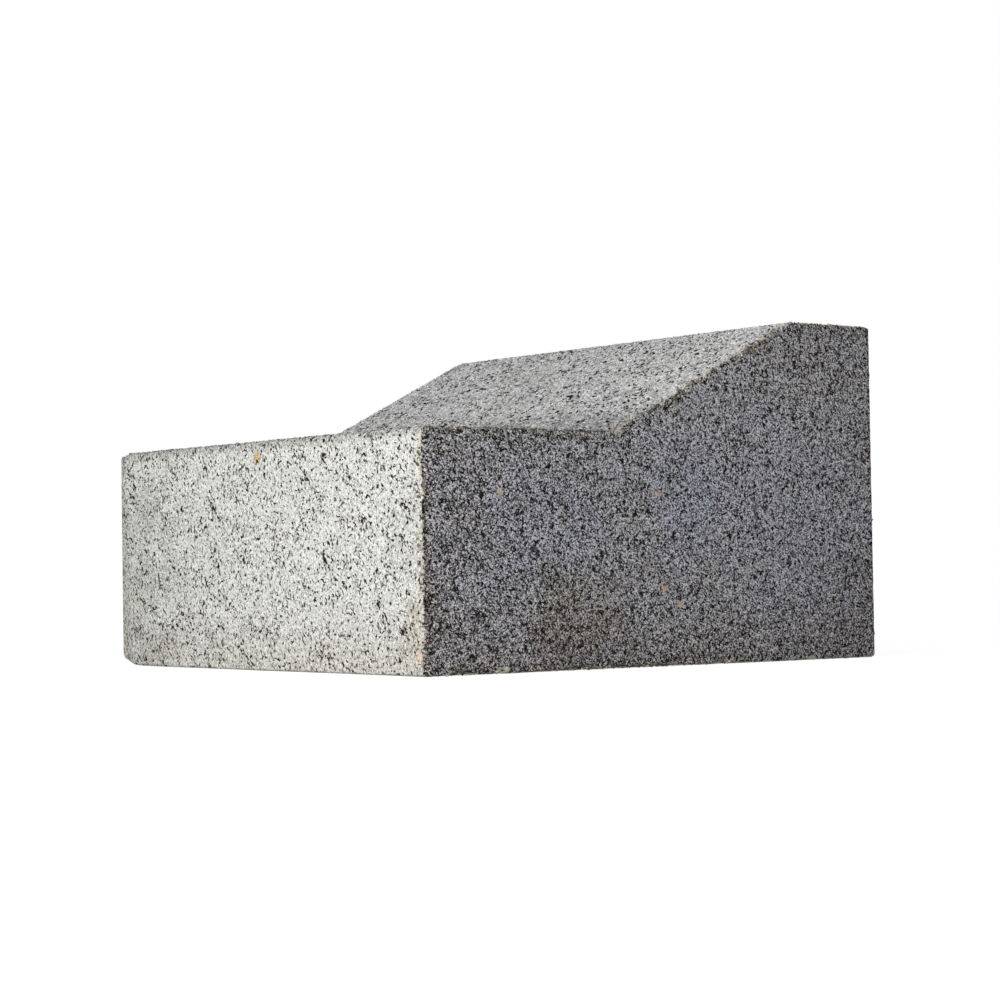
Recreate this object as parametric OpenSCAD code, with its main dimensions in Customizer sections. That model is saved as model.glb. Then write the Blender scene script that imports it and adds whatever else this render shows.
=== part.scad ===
// Concrete ramp kerb stone, cast in one piece.
// A level ledge behind the road face turns up through a hollow into a ramp, which ends at a
// narrow level top in front of the footway face. One joint face is eased all round, as the
// tamped end of a pressed block is, and the other is square.
// X runs along the kerb line, Y from the road face to the footway face and Z up.

/* [Block] */
// Length along the kerb line, from joint face to joint face
kerb_length = 250; // [60:5:500]
// Depth from the road face to the footway face
kerb_depth = 250; // [200:5:400]
// Height of the footway face
back_height = 150; // [120:5:260]
// Height of the road face, up to the ledge
ledge_height = 100; // [30:5:130]

/* [Ledge, ramp and top] */
// Depth of the level ledge behind the road face
ledge_depth = 100; // [40:5:140]
// Depth of the level top in front of the footway face
top_depth = 50; // [20:5:100]
// Radius of the hollow where the ledge turns up into the ramp
hollow_radius = 50; // [5:1:80]
// Radius of the ridge where the ramp meets the top
ridge_radius = 15; // [1:0.5:30]

/* [Edges] */
// Radius of the four long arrises
arris_radius = 2; // [0.5:0.5:6]
// Amount by which the eased end is set in at its upright faces and at the road edge of the ledge
ease_depth = 2.5; // [0.5:0.1:6]
// Amount by which the eased end is set in at its hollow, ramp and top
upper_ease_depth = 1; // [0.5:0.1:6]
// Amount by which the eased end is set in at the bed
bed_ease_depth = 4; // [0.5:0.1:8]
// Angle at which the easing leans in from the faces
ease_angle = 15; // [5:1:45]

/* [Hidden] */
$fn = 96;
concrete_grey = [0.72, 0.72, 0.69];

// Distance by which every cutting shape runs past the face that it cuts
cut_overrun = 1;

// Corners of the section in order round it, with Y to the right and Z up
road_foot = [0, 0];
footway_foot = [kerb_depth, 0];
footway_top = [kerb_depth, back_height];
ridge = [kerb_depth - top_depth, back_height];
ramp_foot = [ledge_depth, ledge_height];
road_top = [0, ledge_height];

ramp_angle = atan2(ridge.y - ramp_foot.y, ridge.x - ramp_foot.x);
ramp_way = [cos(ramp_angle), sin(ramp_angle)];

// The hollow's arc meets the ledge and the ramp this far from the corner between them
hollow_reach = hollow_radius * tan(ramp_angle / 2);
hollow_on_ledge = ramp_foot - [hollow_reach, 0];
hollow_on_ramp = ramp_foot + hollow_reach * ramp_way;
hollow_centre = hollow_on_ledge + [0, hollow_radius];

// The ridge's arc meets the top and the ramp this far from the corner between them
ridge_reach = ridge_radius * tan(ramp_angle / 2);
ridge_on_top = ridge + [ridge_reach, 0];
ridge_on_ramp = ridge - ridge_reach * ramp_way;
ridge_centre = ridge_on_top - [0, ridge_radius];

// Centres of the four long arrises
arris_centres = [
    road_foot + [arris_radius, arris_radius],
    footway_foot + [-arris_radius, arris_radius],
    footway_top - [arris_radius, arris_radius],
    road_top + [arris_radius, -arris_radius],
];

// Length by which an easing cut runs past an outside corner, enough for the flattest one
corner_overrun = max(ease_depth, upper_ease_depth) / sin(ramp_angle) + cut_overrun;

// The ledge's easing cut starts this far above the ledge, so that it is as shallow as the hollow's
// there and reaches its full depth at the road
ledge_rise = [0, ease_depth - upper_ease_depth];

// The hollow's easing cut runs on by this angle into the cuts beside it and is this much deeper,
// so that it ends in a clean line where it crosses them
hollow_overlap = 6;
hollow_extra = 0.02;

// Straight stretches of the section, anticlockwise: start, end, how far the easing cut runs on
// past each of them, and its depth
straights = [
    [road_foot, footway_foot, corner_overrun, corner_overrun, bed_ease_depth],
    [footway_foot, footway_top, corner_overrun, corner_overrun, ease_depth],
    [footway_top, ridge, corner_overrun, corner_overrun, upper_ease_depth],
    [ridge, hollow_on_ramp, corner_overrun, 0, upper_ease_depth],
    [hollow_on_ledge + ledge_rise, road_top, 0, corner_overrun, ease_depth],
    [road_top, road_foot, corner_overrun, corner_overrun, ease_depth],
];

// Section of the kerb: a polygon through the ends of every arc, with the outside corners filled
// out to their arcs and the hollow cut down to its own
module section() {
    difference() {
        union() {
            polygon([
                [arris_radius, 0],
                [kerb_depth - arris_radius, 0],
                [kerb_depth, arris_radius],
                [kerb_depth, back_height - arris_radius],
                [kerb_depth - arris_radius, back_height],
                ridge_on_top,
                ridge_on_ramp,
                hollow_on_ramp,
                hollow_on_ledge,
                [arris_radius, ledge_height],
                [0, ledge_height - arris_radius],
                [0, arris_radius],
            ]);
            for (centre = arris_centres) translate(centre) circle(r = arris_radius);
            translate(ridge_centre) circle(r = ridge_radius);
        }
        translate(hollow_centre) circle(r = hollow_radius);
    }
}

// Cross-section of an easing cut: across is the depth into the stone, up is along the kerb line
module ease_shape(depth) {
    lean = tan(ease_angle);
    polygon([
        [-cut_overrun, -cut_overrun],
        [depth + cut_overrun * lean, -cut_overrun],
        [-cut_overrun, (depth + cut_overrun) / lean],
    ]);
}

// Easing cut along one straight stretch of the section
module straight_ease(start, end, run_before, run_after, depth) {
    along = end - start;
    translate(start)
        rotate(atan2(along.y, along.x))
        translate([-run_before, 0, 0])
        rotate([90, 0, 90])
        linear_extrude(norm(along) + run_before + run_after)
        ease_shape(depth);
}

// Easing cut round the hollow between the ledge and the ramp
module hollow_ease() {
    translate(hollow_centre)
        rotate(-90 - hollow_overlap)
        rotate_extrude(angle = ramp_angle + 2 * hollow_overlap)
        translate([hollow_radius + hollow_extra, 0])
        ease_shape(upper_ease_depth);
}

module kerb_stone() {
    color(concrete_grey)
    translate([-kerb_length / 2, -kerb_depth / 2, 0])
    rotate([90, 0, 90])
    difference() {
        linear_extrude(kerb_length) section();
        for (s = straights) straight_ease(s[0], s[1], s[2], s[3], s[4]);
        hollow_ease();
    }
}

kerb_stone();
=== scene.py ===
import math
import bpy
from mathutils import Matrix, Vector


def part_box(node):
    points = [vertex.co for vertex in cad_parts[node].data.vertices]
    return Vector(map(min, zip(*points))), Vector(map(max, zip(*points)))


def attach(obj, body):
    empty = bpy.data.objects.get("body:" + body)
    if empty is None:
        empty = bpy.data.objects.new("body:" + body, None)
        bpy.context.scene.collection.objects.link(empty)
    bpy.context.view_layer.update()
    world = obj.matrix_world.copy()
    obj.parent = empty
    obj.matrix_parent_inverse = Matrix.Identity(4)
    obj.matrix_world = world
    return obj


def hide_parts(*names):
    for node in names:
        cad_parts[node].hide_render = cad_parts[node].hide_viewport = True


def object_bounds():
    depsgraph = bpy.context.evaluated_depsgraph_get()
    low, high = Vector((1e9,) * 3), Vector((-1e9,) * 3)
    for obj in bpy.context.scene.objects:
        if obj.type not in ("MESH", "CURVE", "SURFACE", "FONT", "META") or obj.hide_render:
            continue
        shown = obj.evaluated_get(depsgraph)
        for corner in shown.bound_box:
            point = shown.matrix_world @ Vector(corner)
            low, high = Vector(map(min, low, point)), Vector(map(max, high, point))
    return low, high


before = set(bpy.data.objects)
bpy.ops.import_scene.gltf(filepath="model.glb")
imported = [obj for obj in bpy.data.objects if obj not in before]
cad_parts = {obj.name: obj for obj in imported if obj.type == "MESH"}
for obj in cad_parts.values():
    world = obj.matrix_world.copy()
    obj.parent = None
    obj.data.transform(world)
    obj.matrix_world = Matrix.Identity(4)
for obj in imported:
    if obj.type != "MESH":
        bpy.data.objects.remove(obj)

from types import SimpleNamespace

import bpy
import numpy as np
from bpy.props import FloatProperty, FloatVectorProperty, IntProperty, PointerProperty
from bpy.types import Operator, Panel, PropertyGroup
from mathutils import Euler, Matrix, Vector

bl_info = {
    "name": "Concrete Ramp Kerb Stone",
    "version": (1, 0, 0),
    "blender": (4, 5, 0),
    "location": "3D View > Sidebar > Kerb",
    "description": "Gives a cast kerb block its pitted concrete skin and sets it on a pale stage",
    "category": "Object",
}

MM = 0.001
CAD_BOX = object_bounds()
BLOCK = "kerb_stone"
BLOCK_LOW, BLOCK_HIGH = (np.array(corner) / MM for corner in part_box(BLOCK))
GRIT_SEED = 7
GRAIN_CORNERS = 6


def length(name, description, millimetres):
    """A length property, given in millimetres and kept in metres."""
    return FloatProperty(
        name=name, description=description, default=millimetres * MM, min=0, unit="LENGTH", precision=4
    )


def colour(name, description, *srgb):
    """A colour property, given as sRGB values from 0 to 255 and kept as linear light."""
    share = np.array(srgb) / 255
    linear = np.where(share <= 0.04045, share / 12.92, ((share + 0.055) / 1.055) ** 2.4)
    return FloatVectorProperty(
        name=name, description=description, default=tuple(linear), min=0, max=1, size=3, subtype="COLOR"
    )


def angle(name, description, radians):
    """An angle property."""
    return FloatProperty(name=name, description=description, default=radians, subtype="ANGLE")


def number(name, description, value):
    """A plain number: a level, a strength or a proportion."""
    return FloatProperty(name=name, description=description, default=value, precision=3)


def spot(name, description, x, y, z, radius):
    """The place of a stain or stone and its radius, given in millimetres and kept in metres."""
    place = tuple(np.array((x, y, z, radius)) * MM)
    return FloatVectorProperty(name=name, description=description, default=place, size=4, unit="LENGTH")


def in_millimetres(group):
    """The values of a property group, with its lengths turned from metres into millimetres."""
    values = {}
    for name in group.__annotations__:
        value = getattr(group, name)
        if group.bl_rna.properties[name].unit == "LENGTH":
            value = tuple(part / MM for part in value) if hasattr(value, "__len__") else value / MM
        values[name] = value
    return SimpleNamespace(**values)


class KerbSizes(PropertyGroup):
    """Sizes of the block's section and of its eased end."""

    ledge_height: length("Ledge height", "Height of the road face, up to the ledge", 100)
    ledge_depth: length("Ledge depth", "Depth of the level ledge behind the road face", 100)
    top_depth: length("Top depth", "Depth of the level top in front of the footway face", 50)
    hollow_radius: length("Hollow radius", "Radius where the ledge turns up into the ramp", 50)
    ridge_radius: length("Ridge radius", "Radius where the ramp meets the top", 15)
    arris_radius: length("Arris radius", "Radius of the four long arrises", 2)
    ease_depth: length("Ease depth", "Set-in of the eased end at its upright faces", 2.5)
    upper_ease_depth: length("Upper ease depth", "Set-in of the eased end at its ramp and top", 1)
    bed_ease_depth: length("Bed ease depth", "Set-in of the eased end at the bed", 4)
    ease_angle: angle("Ease angle", "Angle at which the easing leans in", math.radians(15))


class KerbRelief(PropertyGroup):
    """Fineness of the skin's mesh and the sizes of its lumps, pits and worn edges."""

    lines_along: IntProperty(name="Lines along", description="Mesh strips along the kerb line", default=158)
    lines_across: IntProperty(name="Lines across", description="Mesh strips from front to back", default=180)
    lines_up: IntProperty(name="Lines up", description="Mesh strips from bed to top", default=88)
    square_wear: length("Square end wear", "Rounding of the square end's edges", 1.5)
    eased_wear: length("Eased end wear", "Rounding of the eased end's edges", 1.0)
    swell_size: length("Swell size", "Width of the broad unevenness of a cast face", 38)
    swell_depth: length("Swell depth", "Depth of the broad unevenness of a cast face", 0.35)
    grain_size: length("Grain size", "Width of the aggregate grains that show on the end faces", 3.0)
    grain_depth: length("Grain depth", "Depth between the grains on the end faces", 0.32)
    grit_height: length("Grit height", "Height of the grit that stands out of the skin", 0.5)
    slope_spacing: length("Slope grit spacing", "Spacing of the grit on ledge, ramp and top", 1.75)
    stone_spacing: length("Stone spacing", "Spacing of the larger stones on the end faces", 3.0)
    crumb_spacing: length("Crumb spacing", "Width of the crumbs along the square end's rim", 1.5)
    pit_spacing: length("Pit spacing", "Spacing of the larger pits", 4.6)
    pit_radius: length("Pit radius", "Radius of the larger pits", 1.45)
    pit_depth: length("Pit depth", "Depth of the larger pits", 1.0)
    pit_fray: length("Pit fray", "Width of the swings of the larger pits' edges", 1.8)
    pit_field: length("Pit field", "Width of the fields in which the larger pits lie", 17)
    pit_group: length("Pit group", "Width of the groups of larger pits in a field", 7)
    pit_share: number("Pit share", "Share of the larger pits that open on the upright cast faces", 0.45)
    upper_pit_share: number("Upper pit share", "What the upper faces add to that share", 0.15)
    end_pit_share: number("End pit share", "What the end faces take off that share", 0.38)
    chip_size: length("Chip size", "Width of the chips along the square end's edges", 5.5)
    chip_depth: length("Chip depth", "Depth of the chips along the square end's edges", 2.4)
    chip_reach: length("Chip reach", "How far from an edge the chips reach", 3.2)
    chip_thinning: length("Chip thinning", "Distance behind the middle from which chips thin out", 45)
    chip_end: length("Chip end", "Distance behind the middle at which chips end", 95)
    grit_bed: number("Grit bed", "Share of the grit's height by which the upper faces are sunk for it", 0.8)


class KerbColours(PropertyGroup):
    """Colours of the concrete, as seen under plain white light. The pit colour is painted shade in holes and
    cracks, and the end faces' grit is partly painted shade.
    """

    skin: colour("Cement skin", "Palest tone of the road face", 254, 254, 249)
    sand: colour("Sand", "Darkest sand of the road face", 124, 123, 117)
    washed: colour("Washed skin", "Palest grains of the upper faces", 254, 254, 255)
    washed_sand: colour("Washed sand", "Darkest grains of the upper faces", 125, 127, 134)
    # Pit: painted shade, the dark put into holes, openings, cracks and larger pits in place of their shadow;
    # it is also the own colour of the black grains.
    pit: colour("Pit", "Inside of the pits", 20, 15, 6)
    # The end faces' grit is darker than the cast skin, partly as its own rougher grit and partly as painted
    # shade of the end faces.
    open_grain: colour("Open grain", "Palest grit of the end faces", 248, 247, 253)
    open_shade: colour("Open shade", "Darkest grit of the end faces", 66, 65, 68)
    bloom: colour("Bloom", "Tint of the lime bloom on the square end", 244, 247, 255)
    earth: colour("Earth", "Tint of the earth stains", 240, 233, 214)
    rust: colour("Rust", "Tint of the rusty streaks", 238, 206, 166)
    tan_grain: colour("Tan grain", "Tan and orange grains of the aggregate", 250, 216, 180)
    cream: colour("Cream", "Cream crumbs along the worn edges", 232, 218, 190)
    crust: colour("Crust", "Brown crumbs and edges of the pits", 110, 92, 66)


class KerbCastFace(PropertyGroup):
    """Patterns of the cement skin on the cast faces: how wide they are and how strongly they show."""

    sand_size: length("Sand size", "Width of the sand grains", 0.55)
    bead_size: length("Bead size", "Width of the rounded grains", 1.1)
    lump_size: length("Lump size", "Width of the small lumps", 1.3)
    hole_size: length("Hole size", "Width of the small holes", 1.4)
    wide_size: length("Wide hole size", "Width of the wide holes", 2.6)
    cluster_size: length("Cluster size", "Width of the clusters in which holes gather", 7.0)
    flake_size: length("Flake size", "Width of the flakes between which the skin opens", 2.6)
    flake_swing: length("Flake swing", "How far the edges of the flakes swing", 1.6)
    opening_size: length("Opening size", "Length of the openings between the flakes", 1.7)
    opening_width: length("Opening width", "Greatest half width of the openings", 0.26)
    fray_size: length("Fray size", "Width of the ragged bits round the larger pits", 1.2)
    # The dark of a larger pit is painted shade: where it begins in the bowl, and how its edge frays and
    # steepens.
    pit_level: number("Pit level", "Depth in a larger pit's bowl at which its dark begins", 0.6)
    pit_fray: number("Pit fray", "How strongly the edges of the larger pits are frayed", 1.4)
    pit_steepness: number("Pit steepness", "How steeply the larger pits begin", 1.2)
    hole_slant: angle("Hole slant", "Angle at which holes are drawn out on the road face", -0.8)
    hole_squeeze: number("Hole squeeze", "Width of the holes as a share of their length", 0.6)
    upper_squeeze: number("Upper squeeze", "Width of all patterns on the upper faces, as a share", 0.45)
    hole_level: number("Hole level", "Noise under which a small hole opens", 0.366)
    hole_gathering: number("Hole gathering", "How strongly small holes gather in clusters", 0.08)
    hole_thinning: number("Hole thinning", "How much rarer small holes are on grains", 0.03)
    wide_level: number("Wide hole level", "Noise under which a wide hole opens", 0.318)
    wide_gathering: number("Wide hole gathering", "How strongly wide holes gather in clusters", 0.32)
    wide_thinning: number("Wide hole thinning", "How much rarer wide holes are on grains", 0.08)
    opening_level: number("Opening level", "Noise over which the flakes open", 0.585)
    opening_gathering: number("Opening gathering", "How strongly openings gather in clusters", 0.4)
    opening_thinning: number("Opening thinning", "How much rarer openings are on grains", 0.03)
    black_share: number("Black share", "Share of the grains that are black", 0.05)
    sand_strength: number("Sand strength", "How far the sand changes the tone", 0.62)
    # Painted shading: how far the rounded grains are paler in their middles and darker at their edges.
    bead_shading_strength: number("Bead strength", "How far the rounded grains change the tone", 0.45)
    lump_strength: number("Lump strength", "How far the lumps change the tone", 0.4)
    grain_strength: number("Grain strength", "How far a grain's own tone shows", 0.6)
    grain_shade: number("Grain shade", "How much darker the grains are than the skin", 0.03)
    base_tone: number("Base tone", "Tone under the patterns, from dark sand to pale skin", 0.18)
    crust_strength: number("Crust strength", "How brown the edges of the holes are", 0.75)
    crust_thinning: number("Crust thinning", "How much paler those edges are on grains", 0.6)
    lump_height: number("Lump height", "Height of the lumps in the bump", 0.6)
    hole_depth: number("Hole depth", "Depth of the holes in the bump", 0.5)


class KerbOpenFace(PropertyGroup):
    """Patterns of the bare grit on the end faces: how wide they are and how strongly they show."""

    speck_size: length("Speck size", "Width of the finest specks", 0.5)
    bead_size: length("Bead size", "Width of the rounded grains", 1.05)
    grit_size: length("Grit size", "Width of the angular grit", 1.6)
    stone_size: length("Stone size", "Width of the stones that the seams run round", 4.2)
    bend_size: length("Bend size", "Width of the swings of the grit's edges", 2.4)
    bend_swing: length("Bend swing", "How far the edges of the grit swing", 1.3)
    slit_size: length("Slit size", "Width of the slanting slits", 0.9)
    crack_size: length("Crack size", "Length of the cracks round the grit", 2.3)
    crack_width: length("Crack width", "Greatest half width of the cracks", 0.26)
    seam_size: length("Seam size", "Length of the seams round the stones", 4.1)
    seam_width: length("Seam width", "Greatest half width of the seams", 0.26)
    fray_size: length("Fray size", "Width of the ragged bits round the larger pits", 1.2)
    # The dark of a larger pit is painted shade: where it begins in the bowl, and how its edge frays and
    # steepens.
    pit_level: number("Pit level", "Depth in a larger pit's bowl at which its dark begins", 0.5)
    pit_fray: number("Pit fray", "How strongly the edges of the larger pits are frayed", 1.2)
    pit_steepness: number("Pit steepness", "How steeply the larger pits begin", 1.5)
    clump_size: length("Clump size", "Width of the clumps in which slits and cracks gather", 9.0)
    ridge_width: length("Ridge width", "Distance over which the grit rises from its edges", 0.8)
    slit_slant: angle("Slit slant", "Angle at which the slits are drawn out", 0.8)
    slit_squeeze: number("Slit squeeze", "Width of the slits as a share of their length", 0.55)
    slit_level: number("Slit level", "Noise under which a slit opens", 0.378)
    slit_gathering: number("Slit gathering", "How strongly slits gather in clumps", 0.03)
    rim_gathering: number("Rim gathering", "How strongly slits gather along the worn rim", 0.06)
    crack_level: number("Crack level", "Noise over which a crack opens", 0.58)
    crack_gathering: number("Crack gathering", "How strongly cracks gather in clumps", 0.1)
    seam_level: number("Seam level", "Noise over which a seam opens", 0.63)
    seam_gathering: number("Seam gathering", "How strongly seams gather in clumps", 0.2)
    speck_strength: number("Speck strength", "How far the specks change the tone", 1.45)
    speck_tint: number("Speck tint", "How far the specks change the colour", 0.16)
    # Painted shading: how far the rounded grains are paler in their middles and darker at their edges.
    bead_shading_strength: number("Bead strength", "How far the rounded grains change the tone", 0.5)
    grit_strength: number("Grit strength", "How far the angular grit changes the tone", 0.05)
    stone_strength: number("Stone strength", "How far a stone's own tone shows", 0.2)
    stone_tone: number("Stone tone", "Own tone at which a stone is as pale as the grit round it", 0.4)
    base_tone: number("Base tone", "Tone under the patterns, from dark to pale grit", 0.41)
    gap_thinning: number("Gap thinning", "How much paler slits and cracks are on stones", 0.5)
    tan_share: number("Tan share", "Own tone over which a stone is tan", 0.985)
    grit_height: number("Grit height", "Height of the grit in the bump", 0.1)
    hole_depth: number("Hole depth", "Depth of the slits and cracks in the bump", 0.4)


class KerbWeather(PropertyGroup):
    """How far stains, darker patches, the worn rim and the painted shade in the hollow reach, and how
    strongly they tint, darken and brighten the concrete.
    """

    fray_size: length("Fray size", "Width of the swings of the stains' edges", 16)
    rim_swing_size: length("Rim swing size", "Width of the broad swings of the skin's edge at the ends", 9)
    rim_swing: length("Rim swing", "How far the skin's edge swings broadly", 9)
    rim_ripple_size: length("Rim ripple size", "Width of the small swings of the skin's edge", 2.6)
    rim_ripple: length("Rim ripple", "How far the skin's edge swings finely", 4)
    rim_on_skin: length("Rim on the skin", "How far the worn rim reaches along the skin", 5)
    rim_on_end: length("Rim on the end", "How far the worn rim reaches across an end face", 6.5)
    # The foot is darker and a little earthier towards the bed, up to this height, whose edge swings.
    foot_height: length("Foot height", "Height up to which the foot is splashed", 34)
    foot_swing: length("Foot swing", "How far the edge of the splashed foot swings", 14)
    # Painted shade in the hollow where the ledge turns up into the ramp: the heights over and under the ledge
    # and the distances behind the middle that bound it.
    hollow_shade_height: length("Dust height", "Height over the ledge at which the dust in the hollow ends", 16)
    hollow_shade_full: length("Full dust", "Height over the ledge up to which that dust is full", 4)
    hollow_shade_base: length("Dust base", "Depth below the ledge down to which that dust is full", 2)
    hollow_shade_foot: length("Dust foot", "Depth below the ledge at which that dust ends", 6)
    hollow_shade_start: length("Dust start", "Distance behind the middle at which that dust is thickest", 30)
    hollow_shade_end: length("Dust end", "Distance behind the middle at which that dust ends", 60)
    shake_size: length("Shake size", "Width of the swings of the single stones' edges", 1.6)
    shake_reach: length("Shake reach", "How far the edges of the single stones swing", 2.2)
    # How much the dimming patches darken.
    dimming_shade: number("Damp shade", "How much damp darkens", 0.13)
    earth_shade: number("Earth shade", "How much earth darkens", 0.15)
    # How much darker the foot is towards the bed.
    foot_shade: number("Foot shade", "How much the splashed foot is darkened", 0.09)
    # How dark the painted shade in the hollow is.
    hollow_shade_strength: number("Dust shade", "How much dust in the hollow darkens", 0.26)
    bloom_shine: number("Bloom shine", "How much lime bloom brightens", 0.07)
    pale_shine: number("Pale shine", "How much the pale end of the ramp is brightened", 0.07)
    bloom_mottle: number("Bloom mottle", "Strength of the bloom that is spread over the ends", 0.7)
    earth_mottle: number("Earth mottle", "Strength of the earth that is spread over the ends", 0.6)
    foot_tint: number("Foot tint", "How earthy the splashed foot is", 0.25)
    rim_tint: number("Rim tint", "How earthy the worn rim is", 0.6)
    stone_tint: number("Stone tint", "How strongly the single stones show their colour", 0.7)
    crumb_tint: number("Crumb tint", "How strongly the rim's crumbs show their colour", 0.65)
    roughness: number("Roughness", "Roughness of the concrete", 0.95)
    shine: number("Shine", "Strength of the concrete's reflections", 0.2)


class KerbStains(PropertyGroup):
    """Place and radius of each stain and of each darker or paler patch."""

    bloom_middle: spot("Middle bloom", "Bright lime bloom on the square end", 125, 15, 71, 28)
    bloom_back: spot("Back bloom", "Lime bloom behind the middle of the square end", 125, 72, 62, 48)
    bloom_front: spot("Front bloom", "Lime bloom before the middle of the square end", 125, -62, 52, 36)
    earth_foot: spot("Earth at the foot", "Earth on the foot of the square end", 125, -50, 20, 30)
    earth_top: spot("Earth at the top", "Earth under the top of the square end", 125, 92, 133, 36)
    earth_front: spot("Earth at the front", "Earth at the foot of the near arris", 125, -128, 12, 18)
    # Dimming patches only darken: a back corner and a patch near the road face on the square end, and the
    # road face towards its eased end.
    damp_back: spot("Damp at the back", "Dark damp corner of the square end", 125, 116, 26, 30)
    damp_front: spot("Damp at the front", "Dark patch beside the road face", 125, -104, 50, 40)
    damp_far: spot("Damp at the far end", "Dull end of the road face", -135, -125, 40, 80)
    pale_ramp: spot("Pale ramp", "Pale end of the ramp", 120, 40, 132, 90)
    rust_road: spot("Rust on the road face", "Rusty streak under the ledge", 2, -125, 92, 3.4)


# How strongly each stain or patch covers, under a name that starts with its kind
STAIN_STRENGTHS = {
    "bloom_middle": 1.0,
    "bloom_back": 0.6,
    "bloom_front": 0.6,
    "earth_foot": 0.7,
    "earth_top": 0.2,
    "earth_front": 0.6,
    "damp_back": 1.0,
    "damp_front": 0.6,
    "damp_far": 1.5,
    "pale_ramp": 1.0,
    "rust_road": 1.0,
}


class KerbStones(PropertyGroup):
    """Place and radius of each single stone that shows in the faces."""

    tan_foot: spot("Foot tan stone", "Tan stone low on the square end", 125, 8.6, 26.2, 1.5)
    tan_low: spot("Low tan stone", "Tan stone beside the foot one", 125, 0.4, 33.2, 1.5)
    tan_front: spot("Front tan stone", "Tan stone before the middle of the square end", 125, -50.5, 38.8, 1.0)
    tan_middle: spot("Middle tan stone", "Tan stone above the middle of the square end", 125, -3.2, 73.0, 1.2)
    tan_high: spot("High tan stone", "Tan stone under the top of the square end", 125, 73.2, 119.0, 1.1)
    tan_road: spot("Road tan stone", "Tan stone near the eased end of the road face", -107, -125, 28, 1.2)
    tan_corner: spot("Corner tan stone", "Tan stone at the foot of the near arris", 122.5, -125, 8, 2.0)
    cream_front: spot("Cream stone", "Cream stone behind the near arris", 125, -86.2, 73.5, 1.6)


class KerbStage(PropertyGroup):
    """Camera, lights and floor."""

    camera_place: FloatVectorProperty(
        name="Camera place", description="Where the camera stands", default=(0.9584, -0.7114, 0.0410),
        size=3, subtype="TRANSLATION", unit="LENGTH",
    )
    camera_heading: angle("Camera heading", "Turn from looking along +Y towards -X", math.radians(53.12))
    camera_pitch: angle("Camera pitch", "Upward tilt of the camera", math.radians(1.607))
    camera_roll: angle("Camera roll", "Roll of the camera about its line of sight", math.radians(-0.917))
    lens: number("Lens", "Focal length in millimetres", 93.0)
    sensor_width: number("Sensor width", "Width of the camera's sensor in millimetres", 36.0)
    clip_start: length("Clip start", "Distance from the camera at which the view begins", 10)
    key_place: FloatVectorProperty(
        name="Key place", description="Where the softbox stands", default=(0.445, -1.08, 0.3),
        size=3, subtype="TRANSLATION", unit="LENGTH",
    )
    key_width: length("Key width", "Width of the softbox", 500)
    key_power: number("Key power", "Power of the softbox in watts", 9.0)
    fill: number("Fill", "Strength of the light from all round", 0.26)
    floor_width: length("Floor width", "Width of the pale floor", 8000)
    floor_colour: colour("Floor colour", "Colour of the floor", 230, 230, 230)
    floor_glow: number("Floor glow", "Brightness that the floor adds in direct view", 0.8)


# Noise on whole arrays of points


def scatter(cells, seed):
    """Repeatable random numbers from 0 to 1, one for each whole-number lattice point.

    Each coordinate is multiplied by its own large odd number, the products and the seed are mixed
    bit by bit, and the result is stirred twice by a fold and a multiplication."""
    x, y, z = np.moveaxis(cells.astype(np.int64).astype(np.uint32), -1, 0)
    mixed = x * np.uint32(73856093) ^ y * np.uint32(19349663) ^ z * np.uint32(83492791)
    mixed = mixed ^ np.uint32(seed * 40503 + 977)
    mixed = (mixed ^ (mixed >> np.uint32(15))) * np.uint32(2246822519)
    mixed = (mixed ^ (mixed >> np.uint32(13))) * np.uint32(3266489917)
    mixed = mixed ^ (mixed >> np.uint32(16))
    return mixed.astype(np.float64) / 2**32


def drift(points, size, seed):
    """Smooth noise from 0 to 1: random values on a cubic lattice of the given size, blended between
    the eight corners round each point by the S-curve 3t^2 - 2t^3."""
    at = points / size
    base = np.floor(at)
    t = at - base
    t = t * t * (3 - 2 * t)
    total = np.zeros(len(at))
    for corner in np.ndindex(2, 2, 2):
        weight = np.prod(np.where(corner, t, 1 - t), axis=-1)
        total += weight * scatter(base + corner, seed)
    return total


def pebbles(points, size, seed):
    """Scattered-point noise with one random point in each cubic cell of the given size.

    Returns the distance to the nearest point, in cells, and a random number that belongs to it."""
    at = points / size
    home = np.floor(at)
    near = np.full(len(at), np.inf)
    kind = np.zeros(len(at))
    for step in np.ndindex(3, 3, 3):
        cell = home + step - 1
        middle = cell + np.stack([scatter(cell, seed + axis) for axis in range(3)], axis=-1)
        gap = np.linalg.norm(middle - at, axis=-1)
        closer = gap < near
        kind = np.where(closer, scatter(cell, seed + 3), kind)
        near = np.where(closer, gap, near)
    return near, kind


def ramp(values, start, end):
    """S-curve that goes from 0 at start to 1 at end."""
    t = np.clip((values - start) / (end - start), 0, 1)
    return t * t * (3 - 2 * t)


# The block's section and its skin, in millimetres


def inset_corners(corners, insets):
    """Corners of an anticlockwise outline whose sides are moved inwards, each by one inset at its start
    and one at its end: every new corner solves the equations of its two moved sides."""
    along = np.roll(corners, -1, axis=0) - corners
    outward = np.stack([along[:, 1], -along[:, 0]], axis=-1) / np.linalg.norm(along, axis=1)[:, None]
    reach = np.sum(outward * corners, axis=1)[:, None] - insets
    sides = np.stack([np.roll(outward, 1, axis=0), outward], axis=1)
    reaches = np.stack([np.roll(reach[:, 1], 1), reach[:, 0]], axis=1)
    return np.linalg.solve(sides, reaches[..., None])[..., 0]


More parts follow.
